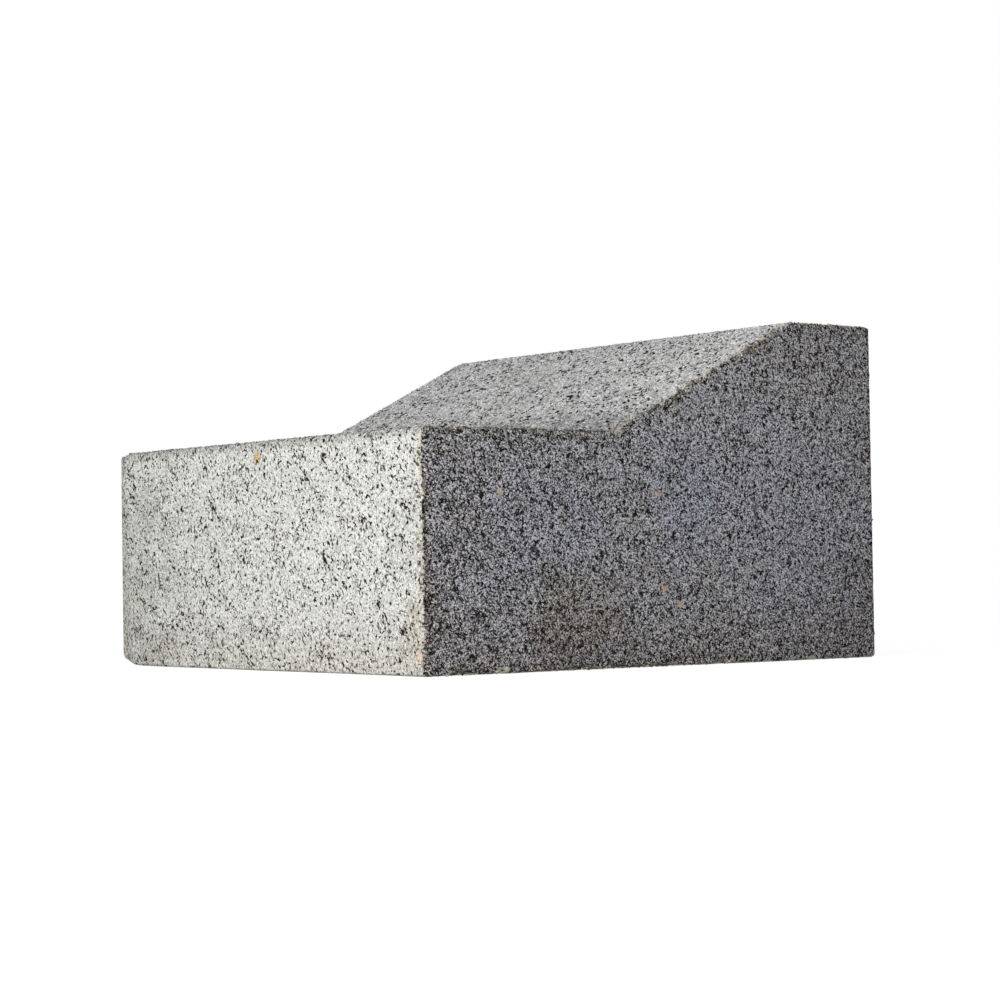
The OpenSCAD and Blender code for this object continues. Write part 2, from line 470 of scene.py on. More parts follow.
def rounded_outline(corners, radii, steps):
    """Points of an outline whose corners are arcs, and its outward normals there.

    An arc starts where its circle touches the side before the corner and turns by the angle between
    the two sides; the normal turns with it."""
    before = corners - np.roll(corners, 1, axis=0)
    after = np.roll(before, -1, axis=0)
    way = np.arctan2(before[:, 1], before[:, 0])
    turn = np.arctan2(after[:, 1], after[:, 0]) - way
    turn = (turn + np.pi) % (2 * np.pi) - np.pi
    heading = np.stack([np.cos(way), np.sin(way)], axis=-1)
    left = np.stack([-heading[:, 1], heading[:, 0]], axis=-1)
    start = corners - heading * (radii * np.tan(np.abs(turn) / 2))[:, None]
    bend = (radii * np.sign(turn))[:, None]
    facing = way[:, None] + turn[:, None] * np.linspace(0, 1, steps + 1)
    normal = np.stack([np.sin(facing), -np.cos(facing)], axis=-1)
    points = (start + left * bend)[:, None] + bend[:, None] * normal
    return points.reshape(-1, 2), normal.reshape(-1, 2)


def graded(count, fineness):
    """Stations from 0 to 1 that lie closer together at both ends: t - fineness sin(2 pi t) / 2 pi."""
    t = np.linspace(0, 1, count + 1)
    return t - fineness * np.sin(2 * np.pi * t) / (2 * np.pi)


class Section:
    """The block's cross-section, sampled at the same stations for the body and for both ends.

    Stations run anticlockwise as seen from +X: along the bed, up the footway face, over the top, ramp
    and ledge, and down the road face. The four box corners are the middles of the long arrises."""

    ARC_STEPS = 16
    BED_SHARE = 4
    FINENESS = 0.3
    SHARPEST = 0.4

    def __init__(self, sizes, relief):
        front, back = BLOCK_LOW[1], BLOCK_HIGH[1]
        floor, top = BLOCK_LOW[2], BLOCK_HIGH[2]
        ledge = floor + sizes.ledge_height
        self.corners = np.array([
            (front, floor),
            (back, floor),
            (back, top),
            (back - sizes.top_depth, top),
            (front + sizes.ledge_depth, ledge),
            (front, ledge),
        ])
        self.round = np.array([1, 1, 1, 0, 0, 1]) * sizes.arris_radius
        self.round += np.array([0, 0, 0, sizes.ridge_radius, sizes.hollow_radius, 0])
        self.hollow_side = np.array([1, 1, 1, 1, -1, 1])
        self.across = relief.lines_across
        self.up = relief.lines_up
        self.bed = self.across // self.BED_SHARE
        self.count = self.bed + self.up + self.across + self.up
        self.stations = self._stations()
        self.body, self.normal = self.at(np.zeros((len(self.corners), 2)))

    def _dense(self, insets):
        corners = inset_corners(self.corners, insets)
        smaller = np.minimum(insets[:, 0], np.roll(insets[:, 1], 1))
        radii = np.maximum(self.round - self.hollow_side * smaller, self.SHARPEST)
        points, normals = rounded_outline(corners, radii, self.ARC_STEPS)
        middle = self.ARC_STEPS // 2
        turned = np.roll(points, -middle, axis=0), np.roll(normals, -middle, axis=0)
        return [np.concatenate([a, a[:1]]) for a in turned]

    def _stations(self):
        """Stations as places in the list of outline points: even shares of each side's length."""
        points, _ = self._dense(np.zeros((len(self.corners), 2)))
        run = np.concatenate([[0], np.cumsum(np.linalg.norm(np.diff(points, axis=0), axis=1))])
        per_corner = self.ARC_STEPS + 1
        foot_back, top_back, top_front = (run[per_corner * k] for k in (1, 2, 5))
        self.run = run
        self.upper = top_back, top_front
        over = top_back + graded(self.across, self.FINENESS) * (top_front - top_back)
        height = graded(self.up, self.FINENESS)
        self.over_y = np.interp(over, run, points[:, 0])[::-1]
        self.depth_share = (self.over_y - self.over_y[0]) / (self.over_y[-1] - self.over_y[0])
        lengths = np.concatenate([
            (self.depth_share[:: self.BED_SHARE] * foot_back)[:-1],
            (foot_back + height * (top_back - foot_back))[:-1],
            over[:-1],
            (top_front + height * (run[-1] - top_front))[:-1],
        ])
        return np.interp(lengths, run, np.arange(len(run)))

    def along(self, lengths):
        """Points and outward normals at any lengths round the section."""
        points, normals = self._dense(np.zeros((len(self.corners), 2)))
        sampled = [
            np.stack([np.interp(lengths, self.run, a[:, k]) for k in (0, 1)], axis=-1)
            for a in (points, normals)
        ]
        return sampled[0], sampled[1] / np.linalg.norm(sampled[1], axis=1)[:, None]

    def at(self, insets):
        """Points and outward normals at the stations, with each side moved inwards by its inset."""
        points, normals = self._dense(insets)
        places = np.arange(len(points))
        sampled = [
            np.stack([np.interp(self.stations, places, a[:, k]) for k in (0, 1)], axis=-1)
            for a in (points, normals)
        ]
        return sampled[0], sampled[1] / np.linalg.norm(sampled[1], axis=1)[:, None]


def tube(section, sizes, relief):
    """The four long faces as a grid of lines along X by stations round the section.

    At the eased end the section leans in by (distance from the end) x tan(angle) until it reaches its
    set-in, and at both ends it is rounded by a quarter circle: x = r sin(a), inset = r (1 - cos(a)). The
    lines crowd a little towards the square end."""
    bed, upright, upper = sizes.bed_ease_depth, sizes.ease_depth, sizes.upper_ease_depth
    eased = np.array([
        (bed, bed), (upright, upright), (upper, upper), (upper, upper), (upper, upright), (upright, upright)
    ])
    far, near = BLOCK_LOW[0], BLOCK_HIGH[0]
    far_round, near_round = relief.eased_wear, relief.square_wear
    far_lines, near_lines, crowding = 5, 7, 0.25
    far_arc = np.linspace(np.pi / 2, 0, far_lines)
    near_arc = np.linspace(0, np.pi / 2, near_lines)
    even = np.linspace(0, 1, relief.lines_along + 1)
    straight = near - near_round - far - far_round
    between = far + far_round + straight * (even * (1 + crowding - crowding * even))
    x = np.concatenate([
        far + far_round * (1 - np.sin(far_arc)), between[1:-1], near - near_round * (1 - np.sin(near_arc))
    ])
    bend = np.concatenate([-far_arc, np.zeros(len(between) - 2), near_arc])
    rounding = (1 - np.cos(bend))[:, None, None]

    lean = np.tan(sizes.ease_angle)
    far_end, _ = section.at(eased)
    set_in = np.linalg.norm(far_end - section.body, axis=1)
    leaned = np.clip(1 - (x[:, None] - far) * lean / set_in, 0, 1)[..., None]
    far_worn, _ = section.at(eased + far_round)
    near_worn, _ = section.at(np.full(eased.shape, near_round))
    worn = np.where(bend[:, None, None] < 0, far_worn - far_end, near_worn - section.body)
    flat = section.body + leaned * (far_end - section.body) + rounding * worn

    grid = np.concatenate([np.broadcast_to(x[:, None, None], (*flat.shape[:2], 1)), flat], axis=-1)
    tilt = np.broadcast_to(np.sin(bend)[:, None, None], (*flat.shape[:2], 1))
    normal = np.concatenate([tilt, np.cos(bend)[:, None, None] * section.normal], axis=-1)
    return grid, normal


def end_face(section, ring):
    """Inner points of an end face: columns from bed to top, each split in the shares of the road face's
    height at the front, which turn into those of the footway face's at the back."""
    bed, up, across = section.bed, section.up, section.across
    back = ring[bed : bed + up + 1]
    over = ring[bed + up : bed + up + across + 1][::-1]
    front = np.concatenate([ring[bed + up + across :], ring[:1]])[::-1]
    foot = ring[0] + section.depth_share[:, None] * (ring[bed] - ring[0])
    share_front = (front[:, 2] - front[0, 2]) / (front[-1, 2] - front[0, 2])
    share_back = (back[:, 2] - back[0, 2]) / (back[-1, 2] - back[0, 2])
    share = share_front[:, None] + (share_back - share_front)[:, None] * section.depth_share
    points = foot + share[..., None] * (over - foot)
    return points[1:-1, 1:-1]


def end_numbers(section, ring, inner):
    """Vertex numbers of an end face's rows and columns, from its rim's and its inner points' numbers."""
    bed, up, across = section.bed, section.up, section.across
    numbers = np.empty((up, across + 1), dtype=np.int64)
    numbers[:-1, 1:-1] = inner
    numbers[:, -1] = ring[bed + 1 : bed + up + 1]
    numbers[-1] = ring[bed + up : bed + up + across + 1][::-1]
    numbers[:-1, 0] = ring[bed + up + across + 1 :][::-1][: up - 1]
    return numbers


def quads(numbers):
    """Four-sided faces between neighbouring rows and columns of a table of vertex numbers."""
    corners = numbers[:-1, :-1], numbers[:-1, 1:], numbers[1:, 1:], numbers[1:, :-1]
    return np.stack(corners, axis=-1).reshape(-1, 4)


def bed_fans(section, ring, lowest_row):
    """Triangles that join each strip of the bed's rim to the four finer strips of the row above it."""
    share = section.BED_SHARE
    left = ring[: section.bed]
    right = ring[1 : section.bed + 1]
    above = np.stack([lowest_row[k : k + section.bed * share : share] for k in range(share + 1)], axis=-1)
    half = share // 2
    fans = [np.stack([left, above[:, k + 1], above[:, k]], axis=-1) for k in range(half)]
    fans.append(np.stack([left, right, above[:, half]], axis=-1))
    fans += [np.stack([right, above[:, k + 1], above[:, k]], axis=-1) for k in range(half, share)]
    return np.concatenate(fans)


def rim_distance(section, points, normals):
    """Signed distance in millimetres from the rim of the nearer end: positive across the end face, and
    negative along X on the long faces."""
    front, back = BLOCK_LOW[1], BLOCK_HIGH[1]
    surface = np.interp(points[:, 1], section.corners[[5, 4, 3, 2], 0], section.corners[[5, 4, 3, 2], 1])
    inside = np.min([
        points[:, 1] - front, back - points[:, 1], points[:, 2] - BLOCK_LOW[2], surface - points[:, 2]
    ], axis=0)
    along = np.minimum(points[:, 0] - BLOCK_LOW[0], BLOCK_HIGH[0] - points[:, 0])
    return np.where(np.abs(normals[:, 0]) > math.sqrt(0.5), np.maximum(inside, 0), -along)


def pits(points, normals, relief):
    """Depth of the larger pits, from 0 to 1: bowls 1 - (distance / radius)^2 round scattered points, kept
    where a broad noise is high. On the upper faces they are twice as long down the slope as across it."""
    upper = ramp(normals[:, 2], 0.4, 0.8)
    end = ramp(np.abs(normals[:, 0]), 0.4, 0.8)
    squeezed = points * np.stack([np.ones(len(points)), 1 - 0.5 * upper, 1 - 0.5 * upper], axis=-1)
    away, luck = pebbles(squeezed, relief.pit_spacing, seed=31)
    wobble = 0.7 + 0.6 * drift(points, relief.pit_fray, seed=41)
    luck_in_size = luck * 37 % 1
    radius = relief.pit_radius * wobble * (0.5 + 0.5 * luck_in_size)
    bowl = np.clip(1 - (away * relief.pit_spacing / radius) ** 2, 0, 1)
    cluster = (drift(points, relief.pit_field, seed=21) + drift(points, relief.pit_group, seed=22)) / 2
    share_open = relief.pit_share + relief.upper_pit_share * upper - relief.end_pit_share * end
    return bowl * (luck < ramp(cluster, 0.15, 1.0) * share_open)


def weathering(section, points, normals, relief):
    """Relief of the skin, in millimetres along the normal, with the masks that the finish reads.

    The cast faces swell gently, the end faces are all grains, with domes of height 1 - distance^2, and
    both have pits. Chips cut back the square end's rim where a small noise is high."""
    finer, chip_finer = 3, 2.4
    swell = drift(points, relief.swell_size, seed=1) * 0.7
    swell += drift(points, relief.swell_size / finer, seed=2) * 0.3
    end = ramp(np.abs(normals[:, 0]), 0.35, 0.9)
    near, kind = pebbles(points, relief.grain_size, seed=11)
    grain = np.clip(1 - near**2, 0, 1) * 0.8 + kind * 0.2
    pit = pits(points, normals, relief)

    rim_way = rim_distance(section, points, normals)
    rim = np.exp(-((rim_way / relief.chip_reach) ** 2)) * (points[:, 0] > 0)
    rim *= ramp(points[:, 1], relief.chip_end, relief.chip_thinning)
    crumble = drift(points, relief.chip_size, seed=51) * 0.65
    crumble += drift(points, relief.chip_size / chip_finer, seed=52) * 0.35
    chip = rim * ramp(crumble, 0.42, 0.85)

    cast = -(1 - swell) * relief.swell_depth
    open_grain = -(1 - grain) * relief.grain_depth
    depth = cast + end * (open_grain - cast) - chip * relief.chip_depth
    depth -= pit * relief.pit_depth
    depth -= ramp(normals[:, 2], 0.2, 0.6) * relief.grit_height * relief.grit_bed
    none = np.zeros(len(points))
    return depth, {"pit": pit, "rim_way": rim_way, "tone": none, "grit": none}


def spread(low, high, spacing, rng):
    """Points of a square lattice between two corners, each moved at random within its own square."""
    low, high = np.array(low), np.array(high)
    counts = np.maximum(np.round((high - low) / spacing).astype(int), 1)
    cells = np.stack(np.meshgrid(*(np.arange(n) for n in counts), indexing="ij"), axis=-1).reshape(-1, 2)
    return low + (cells + rng.uniform(0.05, 0.95, cells.shape)) * (high - low) / counts


def long_face_places(section, sizes, span, spacing, rng):
    """Places and normals for grit on the upper faces between two lengths round the section. Places near
    the eased end are set in with it, deepest at the road."""
    low, high = BLOCK_LOW[0] + spacing / 2, BLOCK_HIGH[0] - spacing / 2
    x, run = spread((low, span[0] + spacing), (high, span[1] - spacing), spacing, rng).T
    flat, normal = section.along(run)
    ledge_share = np.clip((flat[:, 0] - BLOCK_LOW[1]) / sizes.ledge_depth, 0, 1)
    eased = sizes.ease_depth + ledge_share * (sizes.upper_ease_depth - sizes.ease_depth)
    set_in = np.maximum(eased - (x - BLOCK_LOW[0]) * np.tan(sizes.ease_angle), 0)
    places = np.column_stack([x, flat - normal * set_in[:, None]])
    return places, np.column_stack([np.zeros(len(x)), normal])


def end_places(section, sizes, way, spacing, rng):
    """Places and normals for grit on an end face, kept inside its outline."""
    margin = spacing / 2 if way > 0 else spacing / 2 + sizes.bed_ease_depth
    yz = spread(BLOCK_LOW[1:] + margin, BLOCK_HIGH[1:] - margin, spacing, rng)
    outline = section.corners[[5, 4, 3, 2]]
    yz = yz[yz[:, 1] < np.interp(yz[:, 0], outline[:, 0], outline[:, 1]) - margin]
    x = np.full(len(yz), BLOCK_HIGH[0] if way > 0 else BLOCK_LOW[0])
    return np.column_stack([x, yz]), np.broadcast_to((float(way), 0.0, 0.0), (len(yz), 3))


def grit(places, normals, widths, height, dip, rng):
    """Grains sunk into a surface, with a random tone each.

    A grain has six corners, one each way along three random square axes at unequal distances, and eight
    faces between them. It is pressed flat along the normal until it is as high as the grit stands, and
    sunk until its top is level with the surface or, in a pit, lies below it by the dip."""
    count = len(places)
    axes, _ = np.linalg.qr(rng.normal(size=(count, 3, 3)))
    axes[:, 2] *= np.linalg.det(axes)[:, None]
    half = widths / 2
    reach = half[:, None, None] * rng.uniform(0.8, 1.3, (count, 3, 2)) * (1, -1)
    corners = (axes[:, :, None, :] * reach[..., None]).reshape(count, GRAIN_CORNERS, 3)
    lift = np.sum(corners * normals[:, None], axis=-1, keepdims=True)
    corners = corners + normals[:, None] * lift * (height / half[:, None, None] - 1)
    tops = np.max(np.sum(corners * normals[:, None], axis=-1), axis=1)
    sunk = tops + height * rng.uniform(0.0, 0.5, count) + dip
    points = places[:, None] + corners - normals[:, None] * sunk[:, None, None]
    octants = [(i, 2 + j, 4 + k)[:: 1 if (i + j + k) % 2 == 0 else -1] for i, j, k in np.ndindex(2, 2, 2)]
    faces = np.arange(count)[:, None, None] * GRAIN_CORNERS + np.array(octants)
    tone = np.repeat(rng.uniform(0, 1, count), GRAIN_CORNERS)
    return points.reshape(-1, 3), faces.reshape(-1, 3), tone


def rim_places(section, spacing, reach, rng):
    """Places and normals for crumbs along the rim of the square end, on both sides of its arris."""
    count = int(2 * section.run[-1] / spacing)
    run = (np.arange(count) + rng.uniform(0, 1, count)) * section.run[-1] / count
    flat, normal = section.along(run)
    inward = spacing * 0.6 + rng.uniform(0, 1, count) ** 1.5 * reach
    on_end = rng.uniform(0, 1, count) < 0.5
    x = BLOCK_HIGH[0] - np.where(on_end, 0, inward)
    places = np.column_stack([x, flat - normal * np.where(on_end, inward, 0)[:, None]])
    sides = np.column_stack([np.zeros(count), normal])
    return places, np.where(on_end[:, None], (1.0, 0.0, 0.0), sides)


def closed_skin(sizes, relief):
    """Vertices in millimetres, faces and masks of the whole skin: the long faces, both end faces and
    the fans that close them to the bed."""
    section = Section(sizes, relief)
    grid, normal = tube(section, sizes, relief)
    lines, around = grid.shape[:2]
    numbers = np.arange(lines * around).reshape(lines, around)
    points, normals = [grid.reshape(-1, 3)], [normal.reshape(-1, 3)]
    four, three = [quads(np.concatenate([numbers, numbers[:, :1]], axis=1))], []
    total = lines * around
    for line, way in ((0, -1), (-1, 1)):
        inner = end_face(section, grid[line])
        inner_numbers = total + np.arange(inner[..., 0].size).reshape(inner.shape[:2])
        total += inner_numbers.size
        points.append(inner.reshape(-1, 3))
        normals.append(np.broadcast_to((way, 0.0, 0.0), (inner_numbers.size, 3)))
        rows = end_numbers(section, numbers[line], inner_numbers)
        four.append(quads(rows)[:, ::way])
        three.append(bed_fans(section, numbers[line], rows[0])[:, ::way])
    points, normals = np.concatenate(points), np.concatenate(normals)
    depth, masks = weathering(section, points, normals, relief)
    return points + normals * depth[:, None], np.concatenate(four), np.concatenate(three), masks


def mesh_object(name, points, four, three, masks, smooth=True):
    """A mesh object from whole arrays, with one value per vertex for each mask."""
    mesh = bpy.data.meshes.new(name)
    corners = np.concatenate([four.ravel(), three.ravel()])
    sizes = np.concatenate([np.full(len(four), 4), np.full(len(three), 3)])
    mesh.vertices.add(len(points))
    mesh.vertices.foreach_set("co", points.ravel())
    mesh.loops.add(len(corners))
    mesh.loops.foreach_set("vertex_index", corners)
    mesh.polygons.add(len(sizes))
    mesh.polygons.foreach_set("loop_start", np.cumsum(sizes) - sizes)
    mesh.update(calc_edges=True)
    mesh.polygons.foreach_set("use_smooth", np.full(len(sizes), smooth))
    for mask, values in masks.items():
        mesh.attributes.new(mask, "FLOAT", "POINT").data.foreach_set("value", values)
    if mesh.validate(verbose=True):
        raise RuntimeError(f"{name} has faces that don't fit together")
    made = bpy.data.objects.new(name, mesh)
    bpy.context.scene.collection.objects.link(made)
    return made


# Materials


class Signal:
    """A value socket of a material, with arithmetic that adds Math nodes."""

    def __init__(self, graph, socket):
        self.graph, self.socket = graph, socket

    def _math(self, operation, *values):
        return self.graph.node("ShaderNodeMath", {"operation": operation}, dict(enumerate(values)))[0]

    def __add__(self, other):
        return self._math("ADD", self, other)

    __radd__ = __add__

    def __sub__(self, other):
        return self._math("SUBTRACT", self, other)

    def __rsub__(self, other):
        return self._math("SUBTRACT", other, self)

    def __mul__(self, other):
        return self._math("MULTIPLY", self, other)

    __rmul__ = __mul__

    def __truediv__(self, other):
        return self._math("DIVIDE", self, other)

    def at_least(self, other):
        return self._math("MAXIMUM", self, other)

    def at_most(self, other):
        return self._math("MINIMUM", self, other)

    def clamped(self):
        """The value, held between 0 and 1."""
        return self.graph.node("ShaderNodeClamp", {}, {"Value": self})[0]

    def ramp(self, start, end):
        """S-curve from 0 at start to 1 at end."""
        settings = {"interpolation_type": "SMOOTHSTEP"}
        values = {"Value": self, "From Min": start, "From Max": end}
        return self.graph.node("ShaderNodeMapRange", settings, values)[0]


class Graph:
    """The node tree of a material or world, to which one method adds nodes."""

    FINE_BEND = 0.9
    FINE_SWING = 0.4

    def __init__(self, name, tree=None):
        if tree is None:
            self.material = bpy.data.materials.new(name)
            self.material.use_nodes = True
            tree = self.material.node_tree
        self.tree = tree
        self.tree.nodes.clear()

    def node(self, kind, settings=None, values=None):
        """Adds a node, sets its settings, then its sockets' values or links; returns its outputs."""
        made = self.tree.nodes.new(kind)
        for key, value in (settings or {}).items():
            setattr(made, key, value)
        for key, value in (values or {}).items():
            if isinstance(value, Signal):
                self.tree.links.new(value.socket, made.inputs[key])
            else:
                made.inputs[key].default_value = value
        return [Signal(self, socket) for socket in made.outputs]

    def blend(self, factor, one, other, how="MIX"):
        """Colour between one and other."""
        settings = {"data_type": "RGBA", "blend_type": how, "clamp_result": how != "MIX"}
        return self.node("ShaderNodeMix", settings, {0: factor, 6: one, 7: other})[2]

    def noise(self, place, size, detail=1.0, rough=0.5):
        """Noise from 0 to 1 with features of the given size in millimetres, and its colour form."""
        values = {"Vector": place, "Scale": 1 / size, "Detail": detail, "Roughness": rough}
        return self.node("ShaderNodeTexNoise", {"noise_dimensions": "3D"}, values)

    def sway(self, place, size, detail=1.0, rough=0.5):
        """The same noise about 0, from -0.5 to 0.5."""
        return self.noise(place, size, detail, rough)[0] - 0.5

    def cells(self, place, size, feature="F1"):
        """Cells of the given size in millimetres: distance, and for F1 a random colour of each cell."""
        values = {"Vector": place, "Scale": 1 / size}
        return self.node("ShaderNodeTexVoronoi", {"feature": feature}, values)

    def hollows(self, place, size, level, detail, rough):
        """How far a rough noise lies under a level: above 0 inside its hollows."""
        return level - self.noise(place, size, detail, rough)[0]

    def gaps(self, place, size, width, widest):
        """How far inside the gaps between cells a place is: half their width, which is held to the widest,
        less the distance to the nearest cell edge, all in millimetres."""
        return width.at_most(widest) - self.cells(place, size, "DISTANCE_TO_EDGE")[0] * size

    def split(self, colour_signal):
        """Red, green and blue of a colour."""
        return self.node("ShaderNodeSeparateColor", {}, {"Color": colour_signal})

    def bend(self, place, size, reach):
        """A place moved at random by up to half the reach, in millimetres, with swings of the given size."""
        wander = self.vector("SUBTRACT", self.noise(place, size)[1], (0.5, 0.5, 0.5))
        return self.vector("ADD", place, self.vector("SCALE", wander, Scale=reach))

    def crumple(self, place, size, reach):
        """A place bent broadly and then finely, so that straight edges turn ragged."""
        return self.bend(self.bend(place, size, reach), self.FINE_BEND, self.FINE_SWING)

    def slant(self, place, axis, turn, squeeze):
        """A place turned about an axis and then squeezed, so that patterns are drawn out along a slant."""
        turned = self.node(
            "ShaderNodeVectorRotate", {"rotation_type": axis}, {"Vector": place, "Angle": turn}
        )[0]
        return self.vector("MULTIPLY", turned, squeeze)

    def vector(self, operation, *values, **named):
        """A vector that one Vector Math node computes."""
        settings = {"operation": operation}
        return self.node("ShaderNodeVectorMath", settings, {**dict(enumerate(values)), **named})[0]

    def mask(self, name):
        """A value that the mesh carries for each vertex."""
        return self.node("ShaderNodeAttribute", {"attribute_name": name})[2]


def rgba(colour_value):
    """A colour with full opacity."""
    return (*colour_value, 1.0)


# Distance from a cell's middle, in cells, at which the painted shading of a rounded grain is neither paler
# nor darker: paler inside as a lit top, darker outside as a shaded edge
BEAD_RADIUS = 0.45
# How sharply the painted shade of a hole begins at its edge
HOLE_EDGE = 14.0


def sunken(depth, floor):
    """How deep holes lie in the bump: they slope in from a lip round them down to their floor."""
    slope, lip = 2.5, 0.6
    return (depth * slope + lip).clamped() * floor


def pit_edge(g, look, bent, bowl):
    """How far inside a larger pit a place is: its bowl less a level, frayed by a small noise."""
    return (bowl - look.pit_level + g.sway(bent, look.fray_size) * look.pit_fray) * look.pit_steepness


def cast_face(g, look, colours, place, marks, shade):
    """Colour and height of a cast face: sandy cement skin with holes of two sizes, brown at their edges,
    and openings between its flakes.

    A hole lies where a rough noise is under its level, drawn out along a slant on the road face. Holes
    and openings gather where a broad noise is high. On the upper faces the skin's grains have tones of
    their own, and the darkest of them are black. Holes, openings and larger pits are painted dark as
    their shade, in the same colour as the black grains, and rounded grains are painted paler in their
    middles and darker at their edges as their shading."""
    bowl, grain, own_tone = marks
    drawn = g.vector("MULTIPLY", place, (1.0, look.upper_squeeze, 1.0))
    bent = g.crumple(drawn, look.flake_size, look.flake_swing)
    slanting = g.slant(drawn, "Y_AXIS", look.hole_slant, (look.hole_squeeze, 1.0, 1.0))
    cluster = g.sway(slanting, look.cluster_size)

    steepness, opening_growth, crust_slope, softness = 12.0, 2.4, 8.0, 0.04
    level = cluster * look.hole_gathering + look.hole_level - grain * look.hole_thinning
    small = g.hollows(slanting, look.hole_size, level, detail=1.5, rough=0.6) * steepness
    level = cluster * look.wide_gathering + look.wide_level - grain * look.wide_thinning
    wide = g.hollows(slanting, look.wide_size, level, detail=3.0, rough=0.65) * steepness
    opened = g.noise(bent, look.opening_size)[0] + cluster * look.opening_gathering
    opened = (opened - look.opening_level - grain * look.opening_thinning) * opening_growth
    opening = g.gaps(bent, look.flake_size, opened, look.opening_width)
    pit = pit_edge(g, look, bent, bowl)
    black = grain * own_tone.ramp(look.black_share + softness, look.black_share) - 0.5
    depth = small.at_least(wide).at_least(opening).at_least(pit).at_least(black)

    # Painted shading: each rounded grain is paler in its middle and darker at its edge.
    bead_shading = BEAD_RADIUS - g.cells(drawn, look.bead_size)[0]
    sand = g.split(g.cells(drawn, look.sand_size)[1])[0]
    lump = g.noise(bent, look.lump_size)[0]
    tone = sand * look.sand_strength + bead_shading * look.bead_shading_strength + lump * look.lump_strength
    tone = tone + look.base_tone + grain * ((own_tone - 0.5) * look.grain_strength - look.grain_shade)
    dark = g.blend(grain, rgba(colours.sand), rgba(colours.washed_sand))
    pale = g.blend(grain, rgba(colours.skin), rgba(colours.washed))
    surface = g.blend((tone - shade).clamped(), dark, pale)
    edge = (depth * crust_slope + 1).clamped() * (look.crust_strength - grain * look.crust_thinning)
    surface = g.blend(edge, surface, rgba(colours.crust))
    # Painted shade: holes, openings and larger pits take the dark pit colour in place of their shadow; the
    # black grains take it as their own colour.
    surface = g.blend((depth * HOLE_EDGE).clamped(), surface, rgba(colours.pit))
    height = (lump - 0.5) * look.lump_height - sunken(depth, look.hole_depth)
    return surface, height


def open_face(g, look, colours, place, marks, rim, shade):
    """Colour and height of an end face: bare dark grit with slits, cracks and seams between its grains, and
    a few tan stones. The grit is darker than the cast skin, partly of its own and partly as painted shade.

    A slit lies where a slanting rough noise is under its level. Cracks run round the grit and seams round
    the stones, each as wide as a broad noise there is high. Slits, cracks, seams and larger pits are
    painted dark as their shade, and rounded grains paler in their middles and darker at their edges as
    their shading."""
    bowl, grain, own_tone = marks
    bent = g.crumple(place, look.bend_size, look.bend_swing)
    lots = g.split(g.cells(bent, look.grit_size)[1])
    edge = g.cells(bent, look.grit_size, "DISTANCE_TO_EDGE")[0] * look.grit_size
    fine = g.cells(place, look.speck_size)[1]
    specks = g.split(fine)
    clump = g.sway(place, look.clump_size)

    slit_steepness, crack_growth, seam_growth, softness = 20.0, 3.0, 1.8, 0.005
    slanting = g.slant(place, "X_AXIS", look.slit_slant, (1.0, look.slit_squeeze, 1.0))
    level = rim * look.rim_gathering + clump * look.slit_gathering + look.slit_level
    slit = g.hollows(slanting, look.slit_size, level, detail=1.0, rough=0.65) * slit_steepness
    width = g.noise(place, look.crack_size)[0] + clump * look.crack_gathering
    crack = ((width - look.crack_level) * crack_growth).at_most(look.crack_width) - edge
    width = g.noise(place, look.seam_size)[0] + clump * look.seam_gathering
    seam = g.gaps(bent, look.stone_size, (width - look.seam_level) * seam_growth, look.seam_width)
    depth = slit.at_least(crack).at_least(seam).at_least(pit_edge(g, look, bent, bowl))

    # Painted shading: each rounded grain is paler in its middle and darker at its edge.
    bead_shading = BEAD_RADIUS - g.cells(g.bend(place, g.FINE_BEND, g.FINE_SWING), look.bead_size)[0]
    tone = (lots[0] - 0.5) * look.grit_strength + (specks[0] - 0.5) * look.speck_strength
    tone = tone + bead_shading * look.bead_shading_strength + look.base_tone
    tone = tone + (own_tone - look.stone_tone) * grain * look.stone_strength
    # The grit's colours are darker than the cast skin's, partly as its own tone and partly as painted shade
    # of the end faces.
    surface = g.blend((tone - shade).clamped(), rgba(colours.open_shade), rgba(colours.open_grain))
    surface = g.blend(look.speck_tint, surface, fine, "OVERLAY")
    tan = grain * own_tone.ramp(look.tan_share, look.tan_share + softness)
    surface = g.blend(tan, surface, rgba(colours.tan_grain))
    # Painted shade: slits, cracks, seams and larger pits take the dark pit colour in place of their shadow,
    # less so on the stones.
    gap = (depth * HOLE_EDGE).clamped() * (1 - grain * look.gap_thinning)
    surface = g.blend(gap, surface, rgba(colours.pit))
    height = edge.at_most(look.ridge_width) * look.grit_height - sunken(depth, look.hole_depth)
    return surface, height


def distance_from(g, place, patch):
    """Distance in millimetres from the middle of a stain or stone, and its radius."""
    x, y, z, radius = patch
    away = g.vector("SUBTRACT", place, (x, y, z))
    return g.node("ShaderNodeVectorMath", {"operation": "LENGTH"}, {0: away})[1], radius


def stain(g, place, frayed, patch):
    """How much a stain covers a place: 1 in its middle and 0 past its frayed edge."""
    distance, radius = distance_from(g, place, patch)
    return (distance / radius + frayed).ramp(1.15, 0.35)


def set_stone(g, bent, patch):
    """Whether a place is inside a single stone: 1 inside and 0 outside."""
    sharpness = 5.0
    distance, radius = distance_from(g, bent, patch)
    return ((radius - distance) * sharpness).clamped()


def stain_covers(g, place, frayed, stains):
    """How much the stains of each kind cover a place: the most of any stain of that kind."""
    covers = {}
    for name, strength in STAIN_STRENGTHS.items():
        kind = name.split("_")[0]
        cover = stain(g, place, frayed, getattr(stains, name)) * strength
        covers[kind] = covers[kind].at_least(cover) if kind in covers else cover
    return covers


